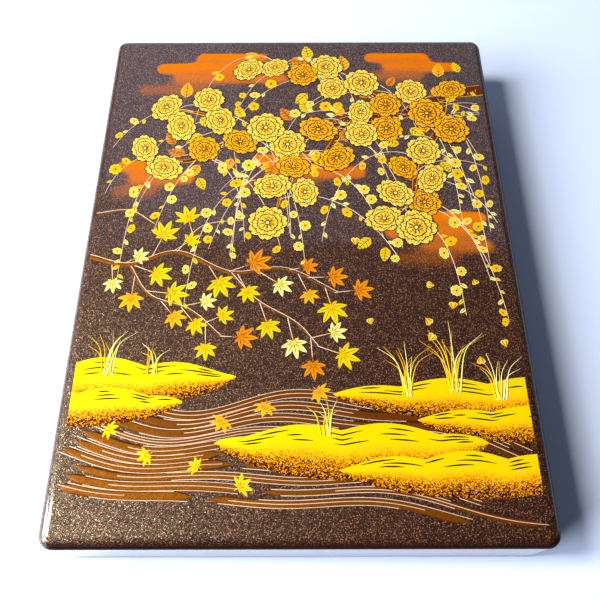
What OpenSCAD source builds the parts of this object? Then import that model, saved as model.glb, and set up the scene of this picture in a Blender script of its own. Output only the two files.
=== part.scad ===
// Lacquer document box: a mitred tray for papers with a full-depth lid that slips over it.
// The tray's walls are grooved for a floor panel and wear a plinth that the lid sits on, flush.
// Millimetres. The origin is on the table under the middle of the box, +Z up, the front at -Y.

/* [Box] */
// Width of the closed box, left to right
box_w = 258; // [200:1:320]
// Length of the closed box, front to back
box_l = 342; // [260:1:420]
// Radius of the upright corners
corner_r = 7; // [7:0.5:12]
// Radius that softens the free edges of walls and plinth
edge_ease = 0.6; // [0.3:0.1:1]

/* [Lid] */
// Thickness of the lid's walls
lid_wall_t = 5; // [4.5:0.5:5.5]
// Height of the lid's walls, from the plinth to the underside of the top board
lid_wall_h = 33; // [20:1:70]
// Thickness of the top board at its rim
lid_board_t = 6; // [6:0.5:9]
// Width of the rolled edge round the top board
edge_roll = 6.5; // [2:0.5:6.5]
// Drop of that edge from the top to the upright side
edge_drop = 5.5; // [2:0.5:5.5]
// Rise of the crowned top above its rim
lid_crown = 2; // [0.5:0.5:5]
// Depth of the field under the top board that drops in between the walls
lid_field_h = 2; // [1:0.5:4]

/* [Tray] */
// Thickness of the tray's walls
tray_wall_t = 5; // [4.5:0.5:7]
// Height of the plinth that the lid sits on
plinth_h = 7; // [6:0.5:14]
// Thickness of the floor panel
floor_t = 4; // [3.5:0.5:6]
// Height of the floor panel above the table
floor_lift = 1; // [0.5:0.5:3]
// Thickness of the tongue round the floor panel
tongue_t = 2.6; // [2.4:0.2:3.2]
// Depth of that tongue in the walls' groove
tongue_w = 2.5; // [1.5:0.5:3]

/* [Joinery] */
// Thickness of the loose spline in each mitre
spline_t = 1.2; // [0.8:0.2:1.6]
// Width of the spline across the mitre
spline_w = 5; // [3:0.5:5.5]
// Wood left between the spline and the inner corner
spline_cover = 1.3; // [0.8:0.1:1.8]
// Wood left above and below the spline
spline_stop = 5; // [3:0.5:8]
// Diameter of the bamboo pegs that hold the plinth
peg_d = 2; // [1.4:0.2:2.2]
// Depth of each peg in the plinth
peg_bite = 4; // [2:0.5:5]
// Pegs along each long side
pegs_long = 4; // [2:1:8]
// Pegs along each short side
pegs_short = 3; // [2:1:6]
// Distance from the tray's corner to the first peg
peg_margin = 30; // [15:1:60]

/* [Fits] */
// Gap between the lid and the tray, all round
lid_fit = 0.8; // [0.4:0.1:1]
// Gap between the tray's rim and the field of the lid
head_gap = 1; // [0.5:0.5:3]
// Thickness of the glue line round splines, tongue, field and pegs
glue_gap = 0.05; // [0.02:0.01:0.1]

/* [Hidden] */
$fn = 64;

// The four sides as turns about +Z: a side is drawn as the front one and turned into place
FRONT = 0;
RIGHT = 90;
BACK = 180;
LEFT = 270;
SIDES = [FRONT, RIGHT, BACK, LEFT];

NASHIJI = "#4a3527";
BLACK = "#17100e";
MAGNOLIA = "#c9b287";
BAMBOO = "#d8b96a";

// Heights
board_z = plinth_h + lid_wall_h;
rim_z = board_z + lid_board_t;
roll_z = rim_z - edge_drop;
field_z = board_z - lid_field_h;
tray_h = field_z - head_gap;
tongue_z = floor_lift + (floor_t - tongue_t) / 2;
peg_z = floor_lift + floor_t / 2;

// Plan sizes
plinth_t = lid_wall_t + lid_fit;
tray_w = box_w - 2 * plinth_t;
tray_l = box_l - 2 * plinth_t;
tray_corner_r = max(corner_r - plinth_t, 0);
floor_w = tray_w - 2 * tray_wall_t - 2 * glue_gap;
floor_l = tray_l - 2 * tray_wall_t - 2 * glue_gap;
groove_d = tongue_w + glue_gap;
peg_r = peg_d / 2;
peg_start = plinth_t + tray_wall_t - groove_d;
peg_end = plinth_t - peg_bite;
cut_over = 1;

// Length and half depth of a side of a w by l rectangle, for a side given as its turn about +Z
function is_short(side) = side == FRONT || side == BACK;
function side_length(w, l, side) = is_short(side) ? w : l;
function side_reach(w, l, side) = (is_short(side) ? l : w) / 2;

// Points of a row of n along a side, kept a margin from both ends
function row_places(length, n, margin) =
    [for (i = [0 : n - 1]) -length / 2 + margin + i * (length - 2 * margin) / (n - 1)];

// A board's section from z0 to z1: its outer face is at x = 0 and the wood lies at negative x.
// low and high soften the lower and upper edges
module board_section(t, z0, z1, low, high) {
    translate([-t, z0 + low])
        square([t, z1 - z0 - low - high]);
    for (edge = [[z0 + low, low, z0], [z1 - high, high, z1 - high]])
        if (edge[1] > 0) {
            translate([edge[1] - t, edge[2]])
                square([t - 2 * edge[1], edge[1]]);
            for (x = [edge[1] - t, -edge[1]])
                translate([x, edge[0]])
                    circle(edge[1]);
        }
}

// One side of a mitred frame of w by l outside, swept from a section t thick given as its child.
// The corners turn on radius r, and each end is cut to the mitre
module frame_side(w, l, r, t, side) {
    length = side_length(w, l, side);
    run = length / 2 - r;
    deep = t + cut_over;
    tall = board_z + 2 * cut_over;
    rotate(side)
        translate([0, -side_reach(w, l, side), 0]) {
            intersection() {
                translate([-run, 0, 0])
                    rotate([90, 0, 90])
                        linear_extrude(2 * run)
                            mirror([1, 0])
                                children();
                translate([0, 0, -cut_over])
                    linear_extrude(tall)
                        polygon([
                            [-length / 2, 0], [length / 2, 0],
                            [length / 2 - deep, deep], [deep - length / 2, deep],
                        ]);
            }
            if (r > 0)
                for (end = [0, 1])
                    mirror([end, 0, 0])
                        translate([run, r, 0])
                            rotate(-90)
                                rotate_extrude(angle = 45)
                                    intersection() {
                                        translate([r, 0])
                                            children();
                                        translate([0, -cut_over])
                                            square([r, tall]);
                                    }
        }
}

// The loose splines of a frame of w by l outside and t thick, or the slots that take them
module corner_splines(w, l, t, z0, z1, gap = 0) {
    depth = t - spline_cover - spline_t / (2 * sqrt(2));
    for (sx = [-1, 1], sy = [-1, 1])
        translate([sx * (w / 2 - depth), sy * (l / 2 - depth), z0 - gap])
            rotate(-45 * sx * sy)
                translate([-spline_w / 2 - gap, -spline_t / 2 - gap, 0])
                    cube([spline_w + 2 * gap, spline_t + 2 * gap, z1 - z0 + 2 * gap]);
}

module lid_splines(gap = 0) {
    corner_splines(box_w, box_l, lid_wall_t, plinth_h + spline_stop, board_z - spline_stop, gap);
}

module tray_splines(gap = 0) {
    corner_splines(tray_w, tray_l, tray_wall_t, plinth_h + spline_stop, tray_h - spline_stop, gap);
}

// The pegs of one side, driven outwards from the floor's groove through the wall into the plinth.
// The holes that take them are wider by gap and run past the groove's bottom
module side_pegs(side, gap = 0, past = 0) {
    count = is_short(side) ? pegs_short : pegs_long;
    rotate(side)
        for (x = row_places(side_length(tray_w, tray_l, side), count, peg_margin))
            translate([x, peg_end - gap - side_reach(box_w, box_l, side), peg_z])
                rotate([-90, 0, 0])
                    cylinder(r = peg_r + gap, h = peg_start - peg_end + gap + past);
}

// A wall of the lid: open below on a softened edge, square above where the top board is glued on
module lid_wall(side) {
    color(NASHIJI)
        difference() {
            frame_side(box_w, box_l, corner_r, lid_wall_t, side)
                board_section(lid_wall_t, plinth_h, board_z, edge_ease, 0);
            lid_splines(glue_gap);
        }
}

// A wall of the tray: softened at the rim, grooved for the floor's tongue and drilled for the pegs
module tray_wall(side) {
    color(BLACK)
        difference() {
            frame_side(tray_w, tray_l, tray_corner_r, tray_wall_t, side)
                difference() {
                    board_section(tray_wall_t, 0, tray_h, 0, edge_ease);
                    translate([-tray_wall_t - cut_over, tongue_z - glue_gap])
                        square([groove_d + cut_over, tongue_t + 2 * glue_gap]);
                }
            tray_splines(glue_gap);
            side_pegs(side, glue_gap, cut_over);
        }
}

// A rail of the plinth, glued and pegged round the foot of the tray, flush with the lid outside.
// Its outer edges are softened, and its inner face is square to the tray
module plinth_rail(side) {
    color(NASHIJI)
        difference() {
            frame_side(box_w, box_l, corner_r, plinth_t, side)
                difference() {
                    board_section(plinth_t + edge_ease, 0, plinth_h, edge_ease, edge_ease);
                    translate([-plinth_t - edge_ease - cut_over, -cut_over])
                        square([edge_ease + cut_over, plinth_h + 2 * cut_over]);
                }
            side_pegs(side, glue_gap, cut_over);
        }
}

// The floor: a panel between the walls with a tongue all round that is held in their groove
module floor_panel() {
    color(BLACK) {
        translate([0, 0, floor_lift])
            linear_extrude(floor_t)
                square([floor_w, floor_l], center = true);
        translate([0, 0, tongue_z])
            linear_extrude(tongue_t)
                square([floor_w + 2 * tongue_w, floor_l + 2 * tongue_w], center = true);
    }
}

// The top board's shape is a stack of rings. Each has the same number of points, so the skin between
// two rings is a strip of quadrilaterals
ARC_STEPS = 6;
SIDE_STEPS = 14;
ROLL_STEPS = 6;
CROWN_RINGS = 7;
RING_POINTS = 4 * (ARC_STEPS + SIDE_STEPS);
// Least radius of a ring's corner
SHARP = 0.05;

// Height of the crown over a point of the top board: none along the rolled edge, most in the middle
function crown_height(x, y) =
    let(half_w = box_w / 2 - edge_roll, half_l = box_l / 2 - edge_roll)
        lid_crown * max(1 - pow(x / half_w, 2), 0) * max(1 - pow(y / half_l, 2), 0);

// Plan points of the box's outline drawn in by inset: each corner's arc, then the side that follows it
function ring_plan(inset) =
    let(r = max(corner_r - inset, SHARP), half_w = box_w / 2 - inset - r, half_l = box_l / 2 - inset - r)
        [for (quarter = [0 : 3])
            let(
                a = 90 * quarter,
                here = [[1, 1], [-1, 1], [-1, -1], [1, -1]][quarter],
                next = [[-1, 1], [-1, -1], [1, -1], [1, 1]][quarter],
                centre = [here.x * half_w, here.y * half_l],
                leave = centre + r * [cos(a + 90), sin(a + 90)],
                reach = [next.x * half_w, next.y * half_l] + r * [cos(a + 90), sin(a + 90)]
            )
            each concat(
                [for (i = [0 : ARC_STEPS - 1])
                    centre + r * [cos(a + 90 * i / ARC_STEPS), sin(a + 90 * i / ARC_STEPS)]],
                [for (i = [0 : SIDE_STEPS - 1]) leave + (reach - leave) * i / SIDE_STEPS]
            )
        ];

// The outline drawn in by inset, at one height
function flat_ring(inset, z) = [for (p = ring_plan(inset)) [p.x, p.y, z]];

// The edge of the crown drawn towards the middle of the board by a share of the way, on the crown
function crown_ring(share) =
    [for (p = ring_plan(edge_roll))
        let(x = p.x * (1 - share), y = p.y * (1 - share))
            [x, y, rim_z + crown_height(x, y)]];

// The top board: a field below that fits in between the walls, a rolled edge and a crowned top
module lid_top_board() {
    field_inset = lid_wall_t + glue_gap;
    rings = concat(
        [flat_ring(field_inset, field_z), flat_ring(field_inset, board_z), flat_ring(0, board_z)],
        [for (i = [0 : ROLL_STEPS - 1])
            let(turn = 90 * i / ROLL_STEPS)
                flat_ring(edge_roll * (1 - cos(turn)), roll_z + edge_drop * sin(turn))],
        [for (i = [0 : CROWN_RINGS - 1]) crown_ring(i / CROWN_RINGS)]
    );
    top = [0, 0, rim_z + lid_crown];
    bottom = [0, 0, field_z];
    points = concat([for (ring = rings) each ring], [top, bottom]);
    last = (len(rings) - 1) * RING_POINTS;
    top_i = len(points) - 2;
    bottom_i = len(points) - 1;
    skin = [
        for (k = [0 : len(rings) - 2], i = [0 : RING_POINTS - 1])
            let(j = (i + 1) % RING_POINTS, low = k * RING_POINTS, high = low + RING_POINTS)
                each [[low + i, high + i, high + j], [low + i, high + j, low + j]]
    ];
    caps = [
        for (i = [0 : RING_POINTS - 1])
            let(j = (i + 1) % RING_POINTS)
                each [[last + i, top_i, last + j], [j, bottom_i, i]]
    ];
    color(NASHIJI)
        polyhedron(points, concat(skin, caps));
}

module lid_front_wall() lid_wall(FRONT);
module lid_back_wall() lid_wall(BACK);
module lid_left_wall() lid_wall(LEFT);
module lid_right_wall() lid_wall(RIGHT);
module lid_corner_splines() color(MAGNOLIA) lid_splines();
module tray_front_wall() tray_wall(FRONT);
module tray_back_wall() tray_wall(BACK);
module tray_left_wall() tray_wall(LEFT);
module tray_right_wall() tray_wall(RIGHT);
module tray_corner_splines() color(MAGNOLIA) tray_splines();
module plinth_front_rail() plinth_rail(FRONT);
module plinth_back_rail() plinth_rail(BACK);
module plinth_left_rail() plinth_rail(LEFT);
module plinth_right_rail() plinth_rail(RIGHT);
module plinth_pegs() color(BAMBOO) for (side = SIDES) side_pegs(side);

lid_top_board();
lid_front_wall();
lid_back_wall();
lid_left_wall();
lid_right_wall();
lid_corner_splines();
tray_front_wall();
tray_back_wall();
tray_left_wall();
tray_right_wall();
tray_corner_splines();
floor_panel();
plinth_front_rail();
plinth_back_rail();
plinth_left_rail();
plinth_right_rail();
plinth_pegs();
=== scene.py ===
import math
import random
from collections import namedtuple

import bpy
import numpy as np
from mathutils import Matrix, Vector

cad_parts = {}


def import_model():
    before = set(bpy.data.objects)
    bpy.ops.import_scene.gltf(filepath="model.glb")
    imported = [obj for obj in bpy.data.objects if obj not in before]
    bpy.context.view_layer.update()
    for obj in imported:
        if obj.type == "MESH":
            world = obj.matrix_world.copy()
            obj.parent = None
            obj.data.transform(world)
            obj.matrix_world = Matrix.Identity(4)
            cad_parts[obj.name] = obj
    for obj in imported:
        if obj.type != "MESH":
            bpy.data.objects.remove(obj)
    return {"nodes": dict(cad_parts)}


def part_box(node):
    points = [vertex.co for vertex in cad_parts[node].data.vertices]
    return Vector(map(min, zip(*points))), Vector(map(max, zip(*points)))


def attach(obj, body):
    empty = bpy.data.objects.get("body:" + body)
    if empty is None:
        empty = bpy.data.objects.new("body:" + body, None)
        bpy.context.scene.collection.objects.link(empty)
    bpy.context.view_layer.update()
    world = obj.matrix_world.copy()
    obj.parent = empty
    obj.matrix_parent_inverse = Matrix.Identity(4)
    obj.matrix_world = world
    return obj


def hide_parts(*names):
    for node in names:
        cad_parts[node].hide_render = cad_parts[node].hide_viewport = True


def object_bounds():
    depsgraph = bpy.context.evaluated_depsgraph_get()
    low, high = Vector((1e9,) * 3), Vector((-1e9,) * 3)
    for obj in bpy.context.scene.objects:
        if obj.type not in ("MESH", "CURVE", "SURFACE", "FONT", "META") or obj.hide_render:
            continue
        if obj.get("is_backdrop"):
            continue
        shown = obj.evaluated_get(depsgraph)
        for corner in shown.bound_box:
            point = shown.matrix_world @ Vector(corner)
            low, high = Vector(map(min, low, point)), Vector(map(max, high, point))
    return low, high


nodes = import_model()["nodes"]
cad_low, cad_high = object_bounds()


# Tray: four mitred boards and a floor panel of thin magnolia.
# They are lacquered black all over after glue-up and polished with charcoal and powder, so they
# are deep black with a faint brown cast and a soft mirror shine.
MM = 0.001  # the scene is in metres
POLISH_CLOUD = 25 * MM  # width of the clouds that polishing leaves in the gloss
NIB_GAP = 1.43 * MM  # from one dust nib to the next


def linear(code):
    """An sRGB hex colour as the linear colour that shaders take."""
    parts = [int(code[i : i + 2], 16) / 255 for i in (1, 3, 5)]
    return [c / 12.92 if c <= 0.04045 else ((c + 0.055) / 1.055) ** 2.4 for c in parts] + [1.0]


def add(tree, kind, settings=None, inputs=None):
    """A new node with its settings. Its inputs are set, or linked where a socket is given, or a node,
    which then gives its first output."""
    made = tree.nodes.new(kind)
    for name, value in (settings or {}).items():
        setattr(made, name, value)
    for key, value in (inputs or {}).items():
        if isinstance(value, bpy.types.Node):
            value = value.outputs[0]
        if isinstance(value, bpy.types.NodeSocket):
            tree.links.new(value, made.inputs[key])
        else:
            made.inputs[key].default_value = value
    return made


def finish_named(name):
    """A new material and its node tree, emptied."""
    material = bpy.data.materials.new(name)
    material.use_nodes = True
    material.node_tree.nodes.clear()
    return material, material.node_tree


def dress(material, *names):
    """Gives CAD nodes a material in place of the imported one."""
    for name in names:
        nodes[name].data.materials.clear()
        nodes[name].data.materials.append(material)


# Roiro: black lacquer polished to a mirror. The last polish leaves a very faint cloud in the gloss
# and hair-fine dust nibs.
def black_lacquer():
    material, tree = finish_named("roiro_black_lacquer")
    place = add(tree, "ShaderNodeTexCoord").outputs["Object"]
    cloud = add(
        tree, "ShaderNodeTexNoise", inputs={"Vector": place, "Scale": 1 / POLISH_CLOUD, "Detail": 4}
    )
    nibs = add(tree, "ShaderNodeTexNoise", inputs={"Vector": place, "Scale": 1 / NIB_GAP, "Detail": 1})
    tone = add(
        tree, "ShaderNodeMix", {"data_type": "RGBA"},
        {0: cloud, 6: linear("#0d0807"), 7: linear("#1c1210")},
    ).outputs[2]
    gloss = add(tree, "ShaderNodeMapRange", inputs={0: cloud, 3: 0.10, 4: 0.22})
    relief = add(tree, "ShaderNodeBump", inputs={"Height": nibs, "Strength": 0.03, "Distance": 0.4 * MM})
    lacquer = add(
        tree, "ShaderNodeBsdfPrincipled",
        inputs={"Base Color": tone, "Roughness": gloss, "Normal": relief, "IOR": 1.54},
    )
    add(tree, "ShaderNodeOutputMaterial", inputs={"Surface": lacquer})
    return material


roiro = black_lacquer()
dress(roiro, "floor_panel", "tray_front_wall", "tray_back_wall", "tray_left_wall", "tray_right_wall")


# Joinery: loose splines of bare magnolia in the mitres, and split bamboo pegs behind the floor.
# They are planed or split to size, glued in and never lacquered, so the grain is open and matt.
GRAIN_SHARE = 0.06  # how fast the grain changes along the wood, as a share of across it


def bare_wood(name, early, late, ring, along):
    """Straight-grained wood: growth rings of a given spacing that run along one axis."""
    material, tree = finish_named(name)
    place = add(tree, "ShaderNodeTexCoord").outputs["Object"]
    squeeze = [GRAIN_SHARE if axis == along else 1.0 for axis in range(3)]
    grain = add(tree, "ShaderNodeMapping", inputs={"Vector": place, "Scale": squeeze})
    rings = add(tree, "ShaderNodeTexNoise", inputs={"Vector": grain, "Scale": 1 / ring, "Detail": 5})
    tone = add(
        tree, "ShaderNodeMix", {"data_type": "RGBA"}, {0: rings, 6: linear(early), 7: linear(late)}
    ).outputs[2]
    relief = add(tree, "ShaderNodeBump", inputs={"Height": rings, "Strength": 0.3, "Distance": 0.2 * MM})
    wood = add(
        tree, "ShaderNodeBsdfPrincipled", inputs={"Base Color": tone, "Normal": relief, "Roughness": 0.62}
    )
    add(tree, "ShaderNodeOutputMaterial", inputs={"Surface": wood})
    return material


dress(
    bare_wood("planed_magnolia", "#d9c79c", "#a98d5c", ring=0.9 * MM, along=2),
    "lid_corner_splines", "tray_corner_splines",
)
dress(bare_wood("split_bamboo", "#dcc27a", "#b58f3f", ring=0.5 * MM, along=1), "plinth_pegs")


# Plinth and lid walls: boards with rounded corners, lacquered as one with the lid's top.
# The ground is nashiji: gold powder sifted over wet dark brown lacquer, buried in clear amber coats
# and polished flat. Inside, the lid is black like the tray.
BOX_W = cad_high.x - cad_low.x
BOX_L = cad_high.y - cad_low.y
LID_WALL = 5 * MM
LINING = 4.4 * MM  # distance from the outer face at which the black starts
FLAKE = 0.36 * MM  # real powder is 0.1 to 0.3 mm; drawn coarser so that the grain shows
FLAKE_RARITY = 12  # the higher, the fewer flakes show
FLAKE_LEAN = 0.34  # how far flakes lie askew
FLAKE_GONE, FLAKE_FULL = 0.62, 0.40  # distances from a flake's middle, as shares of its size
GROUND_DRIFT = 55.6 * MM  # slow change from darker to redder ground
# Painted shade: the lid's near and right rolled edges are darkened by dimming their flakes, glint and
# coat.
SHADED_SIDE = (0.7, -0.7, 0)  # points to the near right corner; edges that face it get painted shade
SHADE_FROM, SHADE_FULL = 0.30, 0.56  # how much an edge faces there where the painted shade sets in and is full
SHADED_SHARE = 0.02  # share of powder and gloss that the painted shade leaves


# Nashiji: sparse flakes lie at all angles in the lacquer, so that some of them catch the light. On
# the walls they lie deeper and glint less.
def sprinkled_lacquer(name, lined=False, hazed=False):
    """A lined piece is black on the inside of the box. A hazed one is the lid's top: its flakes follow
    the rolled edge, orange powder is strewn on it where its attributes say, and its near and right
    edges are darkened with painted shade, by dimming their powder and gloss."""
    material, tree = finish_named(name)
    coords = add(tree, "ShaderNodeTexCoord")
    place = coords.outputs["Object"]
    spread = place
    if hazed:
        spread = add(tree, "ShaderNodeAttribute", {"attribute_name": "unrolled"}).outputs["Vector"]
    cells = add(
        tree, "ShaderNodeTexVoronoi", {"voronoi_dimensions": "2D" if hazed else "3D"},
        {"Vector": spread, "Scale": 1 / FLAKE},
    )
    own = cells.outputs["Color"]  # three random numbers for each flake
    chance = add(tree, "ShaderNodeSeparateColor", inputs={"Color": own}).outputs[2]
    shown = add(tree, "ShaderNodeMath", {"operation": "POWER"}, {0: chance, 1: FLAKE_RARITY})
    body = add(
        tree, "ShaderNodeMapRange",
        inputs={0: cells.outputs["Distance"], 1: FLAKE_GONE, 2: FLAKE_FULL},
    )
    flake = add(tree, "ShaderNodeMath", {"operation": "MULTIPLY"}, {0: shown, 1: body})
    coat = 1.0
    if hazed:
        # Painted shade: flakes, glint and coat fade on the edges that face the near right corner.
        facing = add(
            tree, "ShaderNodeVectorMath", {"operation": "DOT_PRODUCT"},
            {0: coords.outputs["Normal"], 1: SHADED_SIDE},
        ).outputs["Value"]
        unshaded = add(
            tree, "ShaderNodeMapRange", inputs={0: facing, 1: SHADE_FROM, 2: SHADE_FULL, 3: 1.0, 4: SHADED_SHARE}
        )
        flake = add(tree, "ShaderNodeMath", {"operation": "MULTIPLY"}, {0: flake, 1: unshaded})
    dim, bright = (0.11, 1.0) if hazed else (0.02, 0.4)  # gloss of the ground and of a flake
    glint = add(tree, "ShaderNodeMapRange", inputs={0: flake, 3: dim, 4: bright})
    drift = add(
        tree, "ShaderNodeTexNoise", inputs={"Vector": place, "Scale": 1 / GROUND_DRIFT, "Detail": 3}
    )
    ground = add(
        tree, "ShaderNodeMix", {"data_type": "RGBA"},
        {0: drift, 6: linear("#180501"), 7: linear("#210702")},
    ).outputs[2]
    colour = add(
        tree, "ShaderNodeMix", {"data_type": "RGBA"}, {0: flake, 6: ground, 7: linear("#c88258")}
    ).outputs[2]
    if hazed:
        depth = add(tree, "ShaderNodeAttribute", {"attribute_name": "haze_depth"}).outputs["Fac"]
        strength = add(tree, "ShaderNodeAttribute", {"attribute_name": "haze_strength"}).outputs["Fac"]
        edge = add(
            tree, "ShaderNodeMapRange", {"interpolation_type": "SMOOTHSTEP"}, {0: depth, 1: -0.7, 2: 0.7}
        )
        haze = add(tree, "ShaderNodeMath", {"operation": "MULTIPLY"}, {0: edge, 1: strength})
        colour = add(
            tree, "ShaderNodeMix", {"data_type": "RGBA"}, {0: haze, 6: colour, 7: linear("#c26500")}
        ).outputs[2]
        clear = add(tree, "ShaderNodeMath", {"operation": "SUBTRACT"}, {0: 1.0, 1: haze})
        coat = add(tree, "ShaderNodeMath", {"operation": "MULTIPLY"}, {0: clear, 1: unshaded})
        glint = add(tree, "ShaderNodeMath", {"operation": "MULTIPLY"}, {0: glint, 1: coat})
    if lined:
        at = add(tree, "ShaderNodeSeparateXYZ", inputs={0: place})
        within = []
        for axis, size in ((0, BOX_W), (1, BOX_L)):
            away = add(tree, "ShaderNodeMath", {"operation": "ABSOLUTE"}, {0: at.outputs[axis]})
            reach = size / 2 - LINING
            within.append(add(tree, "ShaderNodeMath", {"operation": "LESS_THAN"}, {0: away, 1: reach}))
        inner = add(tree, "ShaderNodeMath", {"operation": "MULTIPLY"}, {0: within[0], 1: within[1]})
        colour = add(
            tree, "ShaderNodeMix", {"data_type": "RGBA"}, {0: inner, 6: colour, 7: linear("#140d0b")}
        ).outputs[2]
        outer = add(tree, "ShaderNodeMath", {"operation": "SUBTRACT"}, {0: 1.0, 1: inner})
        glint = add(tree, "ShaderNodeMath", {"operation": "MULTIPLY"}, {0: glint, 1: outer})
    tilt = add(tree, "ShaderNodeVectorMath", {"operation": "SUBTRACT"}, {0: own, 1: (0.5, 0.5, 0.5)})
    lean = add(tree, "ShaderNodeVectorMath", {"operation": "SCALE"}, {0: tilt, "Scale": FLAKE_LEAN})
    face = add(tree, "ShaderNodeNewGeometry").outputs["Normal"]
    leaning = add(tree, "ShaderNodeVectorMath", {"operation": "ADD"}, {0: face, 1: lean})
    normal = add(tree, "ShaderNodeVectorMath", {"operation": "NORMALIZE"}, {0: leaning})
    lacquer = add(
        tree, "ShaderNodeBsdfPrincipled",
        inputs={
            "Base Color": colour, "Normal": normal, "Roughness": 0.40,
            "Specular IOR Level": glint, "Specular Tint": linear("#ffe5be"), "IOR": 2.5,
            "Coat Weight": coat, "Coat Roughness": 0.07, "Coat IOR": 1.52,
        },
    )
    add(tree, "ShaderNodeOutputMaterial", inputs={"Surface": lacquer})
    return material


dress(
    sprinkled_lacquer("nashiji_lacquer", lined=True),
    "plinth_front_rail", "plinth_back_rail", "plinth_left_rail", "plinth_right_rail",
    "lid_front_wall", "lid_back_wall", "lid_left_wall", "lid_right_wall",
)


# Lid top: one board, planed to a low crown with a rolled edge, with a field below that drops in
# between the walls. Streaks of orange haze are strewn in its ground, crisp above, fading below. The
# ground is lowered a little under the solid's crown to leave room for the raised gold.
EDGE_ROLL = 6.5 * MM
EDGE_DROP = 5.5 * MM
CORNER_R = 7 * MM
BOARD_T = 6 * MM
FIELD_H = 2 * MM
RELIEF = 0.5 * MM
GRID_STEP = 1.5 * MM  # of the top's mesh
CORNER_LINES = 4
ROLL_STEPS = 12
RIM_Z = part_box("lid_front_wall")[1].z + BOARD_T
CROWN = cad_high.z - RIM_Z - RELIEF
HALF_W = BOX_W / 2 - EDGE_ROLL
HALF_L = BOX_L / 2 - EDGE_ROLL
HAZE_MELT = 3.5  # how far, in millimetres, neighbouring streaks of haze run in to each other
HAZE_FADE = 7  # how much wider the edge of the faintest streak is than that of a full one
HAZE_FOOT, HAZE_RISE = 0.72, 0.5  # share of its strength at a streak's foot, and the gain from there up
HAZE_STREAKS = (  # left, right, height on the lid, half thickness in millimetres, strength
    (-70, -22, 152, 4.0, 1.0), (-98, -38, 142, 4.5, 1.0), (-84, -8, 132, 4.0, 0.75),
    (-108, -62, 122, 4.0, 0.35),
    (46, 90, 152, 4.0, 1.0), (60, 110, 143, 4.0, 1.0), (40, 84, 134, 3.5, 0.4),
    (70, 114, 18, 4.5, 1.0), (52, 104, 8, 4.5, 0.85), (74, 116, -2, 4.0, 0.6), (58, 92, -11, 3.5, 0.2),
    (-116, -86, 58, 4.0, 1.0), (-106, -66, 48, 4.5, 0.8), (-116, -90, 38, 3.5, 0.3),
    (-30, 22, 62, 4.5, 1.0), (-16, 42, 52, 4.5, 0.8), (-36, 10, 43, 3.5, 0.3),
)


def crown(x, y):
    """Height of the lid's ground at a place on the top."""
    return RIM_Z + CROWN * (1 - (x / HALF_W) ** 2) * (1 - (y / HALF_L) ** 2)


def haze_at(x, y):
    """Depth inside the haze as a share of the width of its edge, and its strength, at a place in
    millimetres. Faint streaks have wide soft edges, and every streak is thinner below than above."""
    total, soft, dense = 1e-9, 1e-9, 0.0  # never nothing, for the logarithm
    for left, right, height, half, strength in HAZE_STREAKS:
        outside = max(left + half - x, 0, x - right + half)
        weight = math.exp((half - math.hypot(outside, y - height)) / HAZE_MELT)
        rise = min(1, max(0, (y - height + half) / (2 * half)))
        total += weight
        soft += weight * (1 + HAZE_FADE * (1 - strength))
        dense += weight * strength * min(1, HAZE_FOOT + HAZE_RISE * rise)
    return HAZE_MELT * math.log(total) * total / soft, dense / total


def placed(name, data):
    """A new object in the scene."""
    made = bpy.data.objects.new(name, data)
    bpy.context.scene.collection.objects.link(made)
    return made


def store(mesh, title, values):
    """Keeps a number or a vector for each point of a mesh."""
    vector = isinstance(values[0], tuple)
    held = mesh.attributes.new(title, "FLOAT_VECTOR" if vector else "FLOAT", "POINT")
    held.data.foreach_set("vector" if vector else "value", np.array(values, np.float32).ravel())


def grid_lines(half, corner, step, fine):
    """Places of grid lines from -half to half: fine ones across each corner, even ones between."""
    ends = [half - corner * i / fine for i in range(fine)]
    count = round(2 * (half - corner) / step)
    middle = [-(half - corner) + 2 * (half - corner) * i / count for i in range(count + 1)]
    return [-e for e in ends] + middle + ends[::-1]


def top_point(x, y, corner):
    """A grid place moved in to the rounded corner, and the way from it to the edge."""
    u = (abs(x) - HALF_W + corner) / corner
    v = (abs(y) - HALF_L + corner) / corner
    if u > 0 and v > 0:
        reach, turn = max(u, v), math.atan2(v, u)
        way = (math.copysign(math.cos(turn), x), math.copysign(math.sin(turn), y))
        x = math.copysign(HALF_W - corner, x) + corner * reach * way[0]
        y = math.copysign(HALF_L - corner, y) + corner * reach * way[1]
        return x, y, way
    return x, y, (math.copysign(1, x), 0) if u > v else (0, math.copysign(1, y))


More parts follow.
